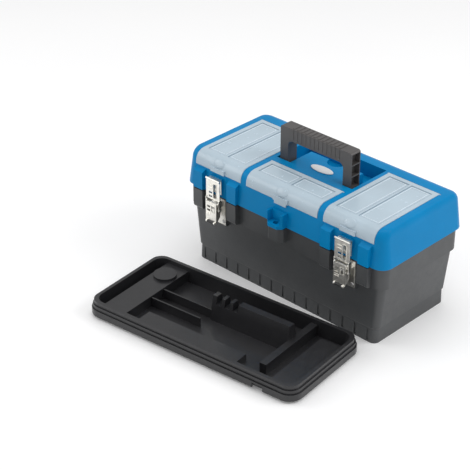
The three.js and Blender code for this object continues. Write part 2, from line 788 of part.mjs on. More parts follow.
function lidHingeKnuckles() {
  const wallY = lidHalfY - lidWall / 2;
  const armTop = lidEdgeHeight + lidHingeArm;
  return [-hingeSpacing / 2, hingeSpacing / 2].flatMap((middle) => {
    const x0 = middle - lidKnuckleWidth / 2;
    const x1 = middle + lidKnuckleWidth / 2;
    return [
      rodX(knuckleRadius, x0, x1, hingeY, hingeZ, roundSides),
      profileX(polygon([
        [wallY, lidEdgeHeight + edgeLap],
        [hingeY - knuckleRadius, hingeZ],
        [hingeY + knuckleRadius, hingeZ],
        [lidHalfWidthAt(armTop) - lidWall / 2, armTop],
      ]), x0, x1),
    ];
  });
}

function handlePinSpan(side) {
  const inner = blockHalfX - handlePinInnerSeat;
  const outer = pocketHalfX + handlePinOuterSeat;
  return side > 0 ? [inner, outer] : [-outer, -inner];
}

function lidShell() {
  const strikeHoles = latchSides.flatMap(([, middle]) => strikeRivetPlaces(middle))
    .map(([x, z]) => rivetHole(x, z, -lidHalfY - rivetDrillReach, -lidHalfY + rivetDrillReach));
  const handleBores = [-1, 1].map((side) => {
    const [x0, x1] = handlePinSpan(side);
    return rodX(handlePinRadius + pinClearance, x0 - fitGap, x1 + fitGap, handlePivotY, handlePivotHeight);
  });
  const shell = cut(
    lidForm(0, lidEdgeHeight), lidHollow(),
    coverPlaces.flatMap(coverRecess), coverPlaces.map(binSpace), handlePocket(),
  );
  const whole = joined(shell, lidBosses(), lidLug(), strikePads(), lidHingeKnuckles());
  return cut(whole, lidLugPocket(), padlockHole(), strikeHoles, handleBores, hingePinBores());
}

// ---------------------------------------------------------------- organiser covers

function coverTab({ x0, x1, tabDrop }) {
  const middle = (x0 + x1) / 2;
  const frontY = -shoulderHalfY - coverProud;
  const bottom = coverFrontHeight - tabDrop;
  const half = coverTabWidth / 2;
  const lowerHalf = half - coverTabStep;
  const lowerBack = -lidHalfWidthAt(bottom) - fitGap;
  const front = frontY - coverTabThickness;
  return joined(
    block(middle - half, middle + half,
      front, frontY + coverThickness / 2, coverFrontHeight, coverFrontHeight + coverTabHeight),
    block(middle - lowerHalf, middle + lowerHalf, front, lowerBack, bottom, coverFrontHeight + overrun),
  );
}

function coverPanels({ x0, x1, rear }) {
  const middle = (x0 + x1) / 2;
  const y0 = -shoulderHalfY + shoulderRadius + coverPanelFront;
  const y1 = rear - coverPanelBorder;
  const z0 = coverTop - coverPanelDepth;
  const halfBar = coverPanelBar / 2;
  return [
    block(x0 + coverPanelBorder, middle - halfBar, y0, y1, z0, coverTop + overrun),
    block(middle + halfBar, x1 - coverPanelBorder, y0, y1, z0, coverTop + overrun),
  ];
}

function cover(place) {
  const band = profileX(
    coverBand(place.rear, coverProud - coverThickness, coverProud, coverFrontHeight), place.x0, place.x1,
  );
  const trimmed = band.intersect(lidForm(coverProud, lidEdgeHeight));
  const barrel = rodX(coverThickness / 2, place.x0, place.x1, place.rear, coverAxisHeight);
  const stubs = rodX(
    coverStubRadius, place.x0 - coverStubLength, place.x1 + coverStubLength, place.rear, coverAxisHeight,
  );
  return cut(joined(trimmed, barrel, stubs, coverTab(place)), coverPanels(place));
}

// ---------------------------------------------------------------- handle

function handleOutline() {
  const foot = handlePivotHeight;
  const half = handleHalfWidth;
  const inside = half - handleUpright;
  const shoulder = handleTopHeight - handleOuterRadius;
  const under = handleTopHeight - handleGripHeight;
  const armpit = under - handleInnerRadius;
  const quarter = Math.PI / 2;
  const shape = new THREE.Shape();
  shape.moveTo(half, foot);
  shape.lineTo(half, shoulder);
  shape.absarc(half - handleOuterRadius, shoulder, handleOuterRadius, 0, quarter, false);
  shape.lineTo(-half + handleOuterRadius, handleTopHeight);
  shape.absarc(-half + handleOuterRadius, shoulder, handleOuterRadius, quarter, 2 * quarter, false);
  shape.lineTo(-half, foot);
  shape.lineTo(-inside, foot);
  shape.lineTo(-inside, armpit);
  shape.absarc(-inside + handleInnerRadius, armpit, handleInnerRadius, 2 * quarter, quarter, true);
  shape.lineTo(inside - handleInnerRadius, under);
  shape.absarc(inside - handleInnerRadius, armpit, handleInnerRadius, quarter, 0, true);
  shape.lineTo(inside, foot);
  return shape;
}

function gripRibBlocks() {
  const ribs = [];
  for (let i = 0; i < gripRibs; i++) {
    const x = (i - (gripRibs - 1) / 2) * gripRibSpacing;
    const halfDepth = handleDepth / 2 - gripRibInset;
    ribs.push(block(
      x - gripRibWidth / 2, x + gripRibWidth / 2,
      handlePivotY - halfDepth, handlePivotY + halfDepth,
      handleTopHeight - overrun, handleTopHeight + gripRibHeight,
    ));
  }
  return ribs;
}

// Open cells in the outer faces of the uprights, with webs between them
function handleCellBlocks() {
  const bottom = blockTop;
  const top = handleTopHeight - handleOuterRadius / 2 - handleWebThickness;
  const pitch = (top - bottom) / handleCells;
  const front = handlePivotY - handleDepth / 2 + handleWebThickness;
  const rear = handlePivotY + handleDepth / 2 - handleWebThickness;
  const cells = [];
  for (const side of [-1, 1]) {
    const near = side * (handleHalfWidth - handleCellDepth);
    const far = side * (handleHalfWidth + overrun);
    for (let i = 0; i < handleCells; i++) {
      cells.push(block(
        Math.min(near, far), Math.max(near, far), front, rear,
        bottom + i * pitch + handleWebThickness, bottom + (i + 1) * pitch,
      ));
    }
  }
  return cells;
}

function handleSolid() {
  const bar = new THREE.ExtrudeGeometry(handleOutline(), {
    depth: handleDepth, bevelEnabled: false, curveSegments: shoulderSteps,
  });
  const arch = solid(bar.rotateX(Math.PI / 2).translate(0, handlePivotY + handleDepth / 2, 0));
  const feet = [-1, 1].map((side) => {
    const x0 = side > 0 ? handleHalfWidth - handleUpright : -handleHalfWidth;
    return rodX(handleDepth / 2, x0, x0 + handleUpright, handlePivotY, handlePivotHeight, 2 * pinSides);
  });
  const bores = [-1, 1].map((side) => {
    const [x0, x1] = handlePinSpan(side);
    return rodX(handlePinRadius + pinClearance, x0, x1, handlePivotY, handlePivotHeight);
  });
  return cut(joined(arch, feet, gripRibBlocks()), handleCellBlocks(), bores);
}

// ---------------------------------------------------------------- latches

function latchPinBore(middle, z) {
  const reach = bailArmOuter + overrun;
  return rodX(latchPinRadius + latchPinClearance, middle - reach, middle + reach, leverPivotY, z);
}

// A long slot with round ends beside two short windows, through a plate of a latch
function plateOpenings(middle, front, back, bottom, slotLength) {
  const y0 = front - overrun;
  const y1 = back + overrun;
  const slotX = middle + plateSlotMiddle;
  const low = bottom + plateSlotHalf;
  const high = bottom + slotLength - plateSlotHalf;
  const slotEnds = [low, high].map((z) => {
    const end = new THREE.CylinderGeometry(plateSlotHalf, plateSlotHalf, y1 - y0, pinSides);
    return solid(end.translate(slotX, (y0 + y1) / 2, z));
  });
  const slot = block(slotX - plateSlotHalf, slotX + plateSlotHalf, y0, y1, low, high);
  const windows = [bottom, bottom + plateWindowPitch].map((z) => (
    block(middle - plateWindowOuter, middle - plateWindowInner, y0, y1, z, z + plateWindowHeight)
  ));
  return [slot, ...slotEnds, ...windows];
}

function latchBasePlate(middle) {
  const plate = block(
    middle - basePlateHalfWidth, middle + basePlateHalfWidth,
    basePlateFront, basePlateBack, basePlateBottom, basePlateTop,
  );
  const ears = [[-baseEarOuter, -baseEarInner], [baseEarInner, baseEarOuter]].flatMap(([x0, x1]) => [
    rodX(baseEarRadius, middle + x0, middle + x1, leverPivotY, leverPivotHeight, roundSides),
    block(middle + x0, middle + x1, leverPivotY, basePlateBack - sheetThickness / 2,
      leverPivotHeight - baseEarRadius, leverPivotHeight + baseEarRadius),
  ]);
  const holes = baseRivetPlaces(middle).map(([x, z]) => (
    rivetHole(x, z, basePlateFront - overrun, basePlateBack + overrun)
  ));
  return cut(joined(plate, ears), latchPinBore(middle, leverPivotHeight), holes);
}

function latchLever(middle) {
  const faceFront = leverPivotY - leverFaceOffset;
  const faceBack = faceFront + sheetThickness;
  const endHeight = leverPivotHeight - leverReach;
  const faceTop = leverPivotHeight + leverFaceRise;
  const earBack = leverPivotY + leverEarDepth;
  const earFront = leverPivotY - leverEarDepth;
  const earInner = leverHalfWidth - sheetThickness;
  const curlHalf = leverHalfWidth - leverCurlInset;
  const face = block(
    middle - leverHalfWidth, middle + leverHalfWidth, faceFront, faceBack, endHeight, faceTop,
  );
  const curl = rodX(
    leverCurlRadius, middle - curlHalf, middle + curlHalf, faceFront - sheetThickness / 2, endHeight,
    roundSides,
  );
  const ears = [[-leverHalfWidth, -earInner], [earInner, leverHalfWidth]].map(([x0, x1]) => profileX(polygon([
    [faceFront, endHeight + sheetThickness],
    [earFront, endHeight + sheetThickness],
    [earBack, endHeight + leverEarStart],
    [earBack, leverPivotHeight + leverCamHalf],
    [leverPivotY + leverCamHalf, leverPivotHeight + leverCamHeight],
    [leverPivotY - leverCamHalf, leverPivotHeight + leverCamHeight],
    [faceFront, faceTop],
  ]), middle + x0, middle + x1));
  const openings = plateOpenings(
    middle, faceFront, faceBack, endHeight + leverOpeningsStart, leverSlotLength,
  );
  const bores = [latchPinBore(middle, leverPivotHeight), latchPinBore(middle, bailPivotHeight)];
  return cut(joined(face, curl, ears), openings, bores);
}

function latchBail(middle) {
  const plateBack = leverPivotY;
  const plateFront = plateBack - sheetThickness;
  const openingsStart = bailPlateStart + bailOpeningsStart;
  const slotLength = bailBarHeight - bailSlotTopMargin - openingsStart;
  const arms = [[-bailArmOuter, -bailArmInner], [bailArmInner, bailArmOuter]].flatMap(([left, right]) => [
    rodX(bailEyeRadius, middle + left, middle + right, leverPivotY, bailPivotHeight, roundSides),
    block(middle + left, middle + right, leverPivotY - bailArmHalf, leverPivotY + bailArmHalf,
      bailPivotHeight, bailPlateStart + bailArmHalf),
  ]);
  const x0 = middle - bailArmOuter;
  const x1 = middle + bailArmOuter;
  const plate = block(x0, x1, plateFront, plateBack, bailPlateStart, bailBarHeight);
  const bar = rodX(bailBarRadius, x0, x1, bailBarY, bailBarHeight, roundSides);
  const openings = plateOpenings(middle, plateFront, plateBack, openingsStart, slotLength);
  return cut(joined(arms, plate, bar), openings, latchPinBore(middle, bailPivotHeight));
}

function latchStrike(middle) {
  const x0 = middle - strikeHalfWidth;
  const x1 = middle + strikeHalfWidth;
  const lip = bailBarY + bailBarRadius + bailStrikeGap;
  const plate = block(x0, x1, strikeFront, strikeBack, strikeBottom, strikeTop);
  const flange = block(x0, x1, lip, strikeBack, strikeTop - sheetThickness, strikeTop);
  const holes = strikeRivetPlaces(middle).map(([x, z]) => (
    rivetHole(x, z, strikeFront - overrun, strikeBack + overrun)
  ));
  return cut(joined(plate, flange), holes);
}

// A rivet along Y: a domed head in front, a shank through plate and wall, and a flat tail inside
function rivet(x, z, headY, tailY) {
  const length = tailY - headY;
  const domeSteps = 3;
  const dome = Array.from({ length: domeSteps + 1 }, (_, i) => {
    const angle = i / domeSteps * Math.PI / 2;
    return [rivetHeadRadius * Math.sin(angle), -rivetHeadHeight * Math.cos(angle)];
  });
  const profile = [
    ...dome,
    [rivetShankRadius, 0],
    [rivetShankRadius, length],
    [rivetTailRadius, length],
    [rivetTailRadius, length + rivetTailHeight],
    [0, length + rivetTailHeight],
  ].map(([radius, along]) => new THREE.Vector2(radius, along));
  return solid(new THREE.LatheGeometry(profile, pinSides).translate(x, headY, z));
}

function addLatch(side, middle) {
  const name = (piece) => `latch_${side}_${piece}`;
  addPart(toolbox, name('base_plate'), latchBasePlate(middle), nickelSteel);
  addPart(toolbox, name('lever'), latchLever(middle), nickelSteel);
  addPart(toolbox, name('bail'), latchBail(middle), nickelSteel);
  addPart(toolbox, name('strike_plate'), latchStrike(middle), nickelSteel);
  const pins = [
    ['lever_pin', baseEarOuter + leverPinProud, leverPivotHeight],
    ['bail_pin', bailArmOuter + bailPinProud, bailPivotHeight],
  ];
  for (const [piece, reach, z] of pins) {
    const pin = rodX(latchPinRadius, middle - reach, middle + reach, leverPivotY, z);
    addPart(toolbox, name(piece), pin, zincSteel);
  }
  baseRivetPlaces(middle).forEach(([x, z], i) => {
    const tail = -tubInnerHalfY(z - rivetHeadRadius) + fitGap;
    addPart(toolbox, name(`base_rivet_${i + 1}`), rivet(x, z, basePlateFront - fitGap, tail), zincSteel);
  });
  strikeRivetPlaces(middle).forEach(([x, z], i) => {
    const tail = -lidHalfWidthAt(z + rivetHeadRadius) + lidWall + fitGap;
    addPart(toolbox, name(`strike_rivet_${i + 1}`), rivet(x, z, strikeFront - fitGap, tail), zincSteel);
  });
}

// ---------------------------------------------------------------- badge

function badge() {
  const oval = new THREE.Shape();
  oval.absellipse(0, 0, badgeLength / 2, badgeWidth / 2, 0, 2 * Math.PI, false);
  const middleY = (pocketFront + blockRear - fingerNotchRadius) / 2;
  const bottom = blockTop + fitGap;
  return profileZ(oval, bottom, bottom + badgeThickness, roundSides).translate(0, middleY, 0);
}

// ---------------------------------------------------------------- tray

const trayHalfX = bandHalfX - tubWall - trayLedgeClearance;
const trayHalfY = bandHalfY - tubWall - trayLedgeClearance;
const trayRimHalfX = trayHalfX - 2 * trayRimStep;
const trayRimHalfY = trayHalfY - 2 * trayRimStep;
const trayWellHalfX = trayRimHalfX - trayRimWidth;
const trayWellHalfY = trayRimHalfY - trayRimWidth;
const traySkirtTop = traySkirtLift + traySkirtHeight;
const trayBandTop = traySkirtTop + trayBandHeight;

// Places inside the tray, from its middle
const stripLeft = -trayWellHalfX + trayEndWell;
const stripRight = stripLeft + trayStripWidth;
const shelfLeft = stripRight + trayShelfGap;
const shelfRight = shelfLeft + trayShelfLength;
const shelfRear = -trayWellHalfY + trayShelfDepth;
const raisedLeft = trayWellHalfX - trayRaisedLength;
const raisedRear = trayWellHalfY - trayRaisedRear;
const barRight = raisedLeft - traySlotLength;
const barLeft = barRight - trayBarWidth;
const ridgeRight = barLeft;
const ridgeLeft = ridgeRight - trayRidgeLength;

function trayOutside() {
  return loft([
    [0, trayWellHalfX, trayWellHalfY, trayWellCornerRadius],
    [traySkirtLift, trayWellHalfX + trayWall, trayWellHalfY + trayWall, trayWellCornerRadius + trayWall],
    [traySkirtLift, trayHalfX, trayHalfY, trayCornerRadius],
    [traySkirtTop, trayHalfX, trayHalfY, trayCornerRadius],
    [traySkirtTop, trayHalfX - trayRimStep, trayHalfY - trayRimStep, trayCornerRadius - trayRimStep],
    [trayBandTop, trayHalfX - trayRimStep, trayHalfY - trayRimStep, trayCornerRadius - trayRimStep],
    [trayBandTop, trayRimHalfX, trayRimHalfY, trayCornerRadius - 2 * trayRimStep],
    [trayHeight, trayRimHalfX, trayRimHalfY, trayCornerRadius - 2 * trayRimStep],
  ]);
}

function trayWell() {
  const floorHalfX = trayWellHalfX - trayWellDraft;
  const floorHalfY = trayWellHalfY - trayWellDraft;
  return loft([
    [trayWall, floorHalfX, floorHalfY, trayWellCornerRadius - trayWellDraft],
    [trayHeight + overrun, trayWellHalfX, trayWellHalfY, trayWellCornerRadius],
  ]);
}

// The gap between the skirt and the well's wall, open below
function traySkirtHollow() {
  const outer = loft([
    [traySkirtLift - overrun, trayHalfX - trayWall, trayHalfY - trayWall, trayCornerRadius - trayWall],
    [traySkirtTop - trayWall, trayHalfX - trayWall, trayHalfY - trayWall, trayCornerRadius - trayWall],
  ]);
  const inset = trayWall + traySkirtGap;
  const inner = loft([
    [0, trayHalfX - inset, trayHalfY - inset, trayCornerRadius - inset],
    [traySkirtTop, trayHalfX - inset, trayHalfY - inset, trayCornerRadius - inset],
  ]);
  return outer.subtract(inner);
}

// A raised area of the tray's floor, kept inside the well's wall
function raisedArea(x0, x1, y0, y1, top) {
  const halfX = trayWellHalfX + trayWall / 2;
  const halfY = trayWellHalfY + trayWall / 2;
  return block(x0, x1, y0, y1, trayWall / 2, top).intersect(loft([
    [0, halfX, halfY, trayWellCornerRadius],
    [trayHeight, halfX, halfY, trayWellCornerRadius],
  ]));
}

// The hollow under a raised area, open below
function underHollow(x0, x1, y0, y1, top) {
  const edgeX = trayWellHalfX - 2 * trayWall;
  const edgeY = trayWellHalfY - 2 * trayWall;
  return block(
    Math.max(x0 + trayWall, -edgeX), Math.min(x1 - trayWall, edgeX),
    Math.max(y0 + trayWall, -edgeY), Math.min(y1 - trayWall, edgeY),
    -overrun, top - trayWall,
  );
}

const traySteps = [
  [stripLeft, stripRight, -trayHalfY, trayHalfY, trayStripHeight],
  [shelfLeft, shelfRight, -trayHalfY, shelfRear, trayShelfHeight],
  [barLeft, barRight, shelfRear - trayBarOverlap, trayHalfY, trayStripHeight],
  [raisedLeft, trayHalfX, -trayHalfY, raisedRear, trayShelfHeight],
];

// The centre ridge's section: a tapered wall, or the hollow inside it
function ridgeOutline(inset, bottom, top) {
  const taper = (trayRidgeFootWidth - trayRidgeTopWidth) / 2 / trayRidgeHeight;
  const halfAt = (z) => trayRidgeFootWidth / 2 - inset - taper * z;
  return polygon([
    [trayRidgeY - halfAt(bottom), bottom],
    [trayRidgeY + halfAt(bottom), bottom],
    [trayRidgeY + halfAt(top), top],
    [trayRidgeY - halfAt(top), top],
  ]);
}

// Slots through the top of the ridge, which leave bars to hold the tray by
function gripSlots() {
  const bottom = trayRidgeHeight - trayGripSlotDepth;
  return Array.from({ length: trayGripSlots }, (_, i) => {
    const x = ridgeLeft + trayGripSlotSpacing * (i + 0.5);
    return block(
      x, x + trayGripSlotWidth, trayRidgeY - trayRidgeFootWidth, trayRidgeY + trayRidgeFootWidth,
      bottom, trayRidgeHeight + overrun,
    );
  });
}

function skirtNotch() {
  const x = trayHalfX - trayNotchFromEnd;
  return block(x, x + trayNotchWidth, -trayHalfY - overrun, -trayHalfY + trayWall + overrun,
    traySkirtLift - overrun, traySkirtLift + trayNotchHeight);
}

function trayBody() {
  const tub = cut(trayOutside(), trayWell(), traySkirtHollow());
  const steps = traySteps.map((step) => raisedArea(...step));
  const boss = rodZ(
    trayBossRadius, (stripLeft + stripRight) / 2, trayWellHalfY - trayBossRear,
    trayWall / 2, trayStripHeight + trayBossRise, 2 * pinSides,
  );
  const dividers = [trayFrontDividerY, trayRearDividerY].map((y) => block(
    stripRight - overrun, ridgeLeft + overrun,
    y - trayWall / 2, y + trayWall / 2, trayWall / 2, trayDividerHeight,
  ));
  const ridge = profileX(ridgeOutline(0, trayWall / 2, trayRidgeHeight), ridgeLeft, ridgeRight + overrun);
  const hollowTop = trayRidgeHeight - trayGripSlotDepth - trayWall;
  const ridgeHollow = profileX(
    ridgeOutline(trayWall, -overrun, hollowTop), ridgeLeft + trayWall, ridgeRight - trayWall,
  );
  const hollows = traySteps.map((step) => underHollow(...step));
  return cut(joined(tub, steps, boss, dividers, ridge), hollows, ridgeHollow, gripSlots(), skirtNotch());
}

// ---------------------------------------------------------------- assembly

addPart(toolbox, 'base_shell', tubShell(), charcoalPlastic);
addPart(toolbox, 'lid_shell', lidShell(), bluePlastic);

for (const place of coverPlaces) {
  addPart(toolbox, `organiser_lid_${place.name}`, cover(place), frostedPlastic);
}

addPart(toolbox, 'carry_handle', handleSolid(), handlePlastic);
for (const [side, sign] of [['left', -1], ['right', 1]]) {
  const [x0, x1] = handlePinSpan(sign);
  const handlePin = rodX(handlePinRadius, x0, x1, handlePivotY, handlePivotHeight);
  addPart(toolbox, `handle_pin_${side}`, handlePin, zincSteel);
  const middle = sign * hingeSpacing / 2;
  const reach = lidKnuckleWidth / 2 + knuckleGap + tubKnuckleWidth + pinEndProud;
  addPart(toolbox, `lid_hinge_pin_${side}`,
    rodX(hingePinRadius, middle - reach, middle + reach, hingeY, hingeZ), zincSteel);
}

addPart(toolbox, 'badge_blank', badge(), badgePlastic);

for (const [side, middle] of latchSides) {
  addLatch(side, middle);
}

const trayStand = new THREE.Group();
const trayReachY = trayHalfX * Math.sin(trayTurn) + trayHalfY * Math.cos(trayTurn);
trayStand.position.set(trayPlaceX, -lidHalfY - trayStandGap - trayReachY, 0);
trayStand.rotation.z = trayTurn;
toolbox.add(trayStand);
addPart(trayStand, 'tray_body', trayBody(), charcoalPlastic);

export default toolbox;
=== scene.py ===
import bmesh
import bpy
from math import cos, radians, sin
from mathutils import Matrix, Vector


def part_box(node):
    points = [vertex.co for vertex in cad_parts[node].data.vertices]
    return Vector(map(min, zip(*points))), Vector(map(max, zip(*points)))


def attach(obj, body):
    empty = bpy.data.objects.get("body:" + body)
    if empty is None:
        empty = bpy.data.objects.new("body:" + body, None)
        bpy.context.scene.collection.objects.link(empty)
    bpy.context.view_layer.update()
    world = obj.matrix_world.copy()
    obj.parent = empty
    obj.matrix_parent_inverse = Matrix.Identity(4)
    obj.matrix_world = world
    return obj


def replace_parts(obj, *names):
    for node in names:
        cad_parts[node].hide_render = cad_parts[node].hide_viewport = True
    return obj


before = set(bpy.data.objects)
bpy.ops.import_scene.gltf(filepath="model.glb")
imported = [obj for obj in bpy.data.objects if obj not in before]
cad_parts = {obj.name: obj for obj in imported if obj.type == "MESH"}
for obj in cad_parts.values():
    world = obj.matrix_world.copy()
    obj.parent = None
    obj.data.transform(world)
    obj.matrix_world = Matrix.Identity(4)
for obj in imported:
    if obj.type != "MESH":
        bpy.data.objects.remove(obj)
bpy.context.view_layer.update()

# ------------------------------------------------------------------ camera
# A long lens at chest height, in front of the box's right-hand end, looking down at it and
# at the tray that stands in front of it.
view_azimuth = radians(43.9248)
view_elevation = radians(30.5472)
view_distance = 2.4
aim_point = Vector((-0.07625, -0.11843, 0.1))
towards_camera = Vector((
    sin(view_azimuth) * cos(view_elevation),
    -cos(view_azimuth) * cos(view_elevation),
    sin(view_elevation),
))
camera_data = bpy.data.cameras.new("camera")
camera_data.sensor_width = 36
camera_data.lens = 115.65
camera = bpy.data.objects.new("camera", camera_data)
camera.location = aim_point + view_distance * towards_camera
camera.rotation_euler = (-towards_camera).to_track_quat("-Z", "Y").to_euler()
bpy.context.scene.collection.objects.link(camera)
bpy.context.scene.camera = camera

# ------------------------------------------------------------------ studio
# A seamless white table and soft white light: a large panel high behind the right-hand end,
# a weaker one from the left, and a bright room all round.
bpy.context.scene.view_settings.view_transform = "Standard"


def soft_panel(name, place, aim, width, height, watts):
    panel_data = bpy.data.lights.new(name, "AREA")
    panel_data.shape = "RECTANGLE"
    panel_data.size = width
    panel_data.size_y = height
    panel_data.energy = watts
    panel = bpy.data.objects.new(name, panel_data)
    panel.location = place
    panel.rotation_euler = (Vector(aim) - Vector(place)).to_track_quat("-Z", "Y").to_euler()
    bpy.context.scene.collection.objects.link(panel)


soft_panel("key_panel", (1.5, 0.9, 1.5), (0, -0.1, 0.1), 1.2, 0.9, 15)
soft_panel("fill_panel", (-1.5, -1.1, 1.2), (0, -0.1, 0.1), 1.2, 1.0, 8)
soft_panel("top_panel", (-0.1, 0.1, 2.0), (0, -0.1, 0), 1.5, 1.1, 9)

room = bpy.data.worlds.new("room")
room.use_nodes = True
room.node_tree.nodes["Background"].inputs["Color"].default_value = (1.0, 1.0, 1.0, 1)
room.node_tree.nodes["Background"].inputs["Strength"].default_value = 0.64
bpy.context.scene.world = room


def add_node(tree, kind, **sockets):
    node = tree.nodes.new(kind)
    for socket, value in sockets.items():
        node.inputs[socket.replace("_", " ")].default_value = value
    return node


def table_finish():
    material = bpy.data.materials.new("white_table")
    material.use_nodes = True
    tree = material.node_tree
    shader = tree.nodes["Principled BSDF"]
    shader.inputs["Roughness"].default_value = 0.5
    shader.inputs["Emission Color"].default_value = (1.0, 1.0, 1.0, 1)
    shader.inputs["Emission Strength"].default_value = 0.09
    place = tree.nodes.new("ShaderNodeTexCoord")
    mottle = add_node(tree, "ShaderNodeTexNoise", Scale=3.0, Detail=2.0)
    shades = tree.nodes.new("ShaderNodeValToRGB")
    shades.color_ramp.elements[0].color = (0.93, 0.93, 0.935, 1)
    shades.color_ramp.elements[1].color = (0.96, 0.96, 0.962, 1)
    tree.links.new(place.outputs["Object"], mottle.inputs["Vector"])
    tree.links.new(mottle.outputs["Fac"], shades.inputs["Fac"])
    tree.links.new(shades.outputs["Color"], shader.inputs["Base Color"])
    return material


table_bm = bmesh.new()
bmesh.ops.create_grid(table_bm, x_segments=2, y_segments=2, size=4.0)
table_mesh = bpy.data.meshes.new("table")
table_bm.to_mesh(table_mesh)
table_bm.free()
table_mesh.materials.append(table_finish())
table = bpy.data.objects.new("table", table_mesh)
bpy.context.scene.collection.objects.link(table)

# ------------------------------------------------------------------ tub
# The tub is one injection moulding in charcoal polypropylene, with a fine spark texture from
# the tool and softened edges. A deep band stiffens its mouth and carries the latch posts.


def moulded_plastic(name, colour, roughness, sheen=0.5, shade=0.12, grain=0.00004):
    material = bpy.data.materials.new(name)
    material.use_nodes = True
    tree = material.node_tree
    link = tree.links.new
    shader = tree.nodes["Principled BSDF"]
    shader.inputs["IOR"].default_value = 1.49
    shader.inputs["Specular IOR Level"].default_value = sheen
    place = tree.nodes.new("ShaderNodeTexCoord")
    texture = add_node(tree, "ShaderNodeTexNoise", Scale=1500.0, Detail=2.0, Roughness=0.6)
    flow = add_node(tree, "ShaderNodeTexNoise", Scale=14.0, Detail=4.0, Roughness=0.55)
    scuff = add_node(tree, "ShaderNodeTexNoise", Scale=90.0, Detail=6.0, Roughness=0.7)
    for noise in (texture, flow, scuff):
        link(place.outputs["Object"], noise.inputs["Vector"])
    shades = tree.nodes.new("ShaderNodeValToRGB")
    shades.color_ramp.elements[0].position = 0.3
    shades.color_ramp.elements[0].color = (*[channel * (1 - shade) for channel in colour], 1)
    shades.color_ramp.elements[1].position = 0.7
    shades.color_ramp.elements[1].color = (*[channel * (1 + shade) for channel in colour], 1)
    link(flow.outputs["Fac"], shades.inputs["Fac"])
    link(shades.outputs["Color"], shader.inputs["Base Color"])
    dull = add_node(tree, "ShaderNodeMapRange", From_Min=0.3, From_Max=0.7,
                    To_Min=roughness - 0.05, To_Max=roughness + 0.07)
    link(scuff.outputs["Fac"], dull.inputs["Value"])
    link(dull.outputs["Result"], shader.inputs["Roughness"])
    bump = add_node(tree, "ShaderNodeBump", Distance=grain, Strength=0.6)
    link(texture.outputs["Fac"], bump.inputs["Height"])
    link(bump.outputs["Normal"], shader.inputs["Normal"])
    return material


def show(name, mesh, body, crease=36):
    """Puts a mesh in the scene, smooth but for its creases, on a body of the toolbox."""
    for polygon in mesh.polygons:
        polygon.use_smooth = True
    mesh.set_sharp_from_angle(angle=radians(crease))
    piece = bpy.data.objects.new(name, mesh)
    bpy.context.scene.collection.objects.link(piece)
    level = piece.modifiers.new("even_shading", "WEIGHTED_NORMAL")
    level.keep_sharp = True
    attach(piece, body)
    return piece


def round_edges(bm, edge, crease=28):
    sharp = [
        edge_between for edge_between in bm.edges
        if len(edge_between.link_faces) == 2 and edge_between.calc_face_angle() > radians(crease)
    ]
    bmesh.ops.bevel(
        bm, geom=sharp, offset=edge, offset_type="OFFSET", affect="EDGES", segments=2,
        profile=0.5, material=-1, clamp_overlap=True, loop_slide=True,
    )


def finished_copy(node, name, body, material, edge):
    """A node's own shape with its facets merged and its sharp edges rounded."""
    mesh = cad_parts[node].data.copy()
    mesh.name = name
    mesh.materials.clear()
    mesh.materials.append(material)
    bm = bmesh.new()
    bm.from_mesh(mesh)
    bmesh.ops.remove_doubles(bm, verts=bm.verts, dist=2e-6)
    bmesh.ops.dissolve_limit(bm, angle_limit=radians(0.6), verts=bm.verts, edges=bm.edges)
    round_edges(bm, edge)
    bmesh.ops.triangulate(bm, faces=[f for f in bm.faces if len(f.verts) > 4])
    bm.to_mesh(mesh)
    bm.free()
    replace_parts(show(name, mesh, body), node)


charcoal = moulded_plastic("charcoal_polypropylene", (0.052, 0.055, 0.058), 0.42, sheen=0.6)
finished_copy("base_shell", "tub_moulding", "box", charcoal, 0.0008)

# ------------------------------------------------------------------ lid
# The lid is a second moulding, in bright blue polypropylene. Its rounded front carries the
# bosses and the upper half of the padlock lug, and it turns on two pins at the rear.
blue = moulded_plastic("blue_polypropylene", (0.0006, 0.215, 0.49), 0.32, sheen=0.1, shade=0.05)
finished_copy("lid_shell", "lid_moulding", "lid", blue, 0.0008)

# ------------------------------------------------------------------ organiser covers
# Three frosted polypropylene covers, thin enough for light to pass, snapped by their stub pins
# into the lid. Each has two sunken panels, each ringed by a flat dark strip of painted groove
# shadow with a fine moulded line inside it, coloured lighter as painted highlight, and a domed snap
# over the tab at its front.
frosted = moulded_plastic("frosted_polypropylene", (0.54, 0.66, 0.75), 0.22, shade=0.05, grain=0.000004)
frosted.node_tree.nodes["Principled BSDF"].inputs["Transmission Weight"].default_value = 0.18
# The raised lines are the cover's own frosted plastic, coloured lighter as a painted highlight on the
# ridges.
painted_highlight_line = moulded_plastic("frosted_line_painted_highlight", (0.70, 0.79, 0.86), 0.2, shade=0.03, grain=0.000004)
# The dark strips are painted groove shadow: flat bars barely above the panel floor, coloured dark where
# the groove's shade falls.
painted_groove_shadow = moulded_plastic("frosted_painted_groove_shadow", (0.12, 0.20, 0.28), 0.4, shade=0.05, grain=0.000004)


def boxes_mesh(name, boxes, material, edge):
    """One mesh of round-edged bars, each bar given by its two opposite corners."""
    bm = bmesh.new()
    for low, high in boxes:
        size = Vector(high) - Vector(low)
        middle = (Vector(high) + Vector(low)) / 2
        bmesh.ops.create_cube(bm, matrix=Matrix.Translation(middle) @ Matrix.Diagonal((*size, 1)))
    round_edges(bm, edge)
    mesh = bpy.data.meshes.new(name)
    bm.to_mesh(mesh)
    bm.free()
    mesh.materials.append(material)
    return mesh


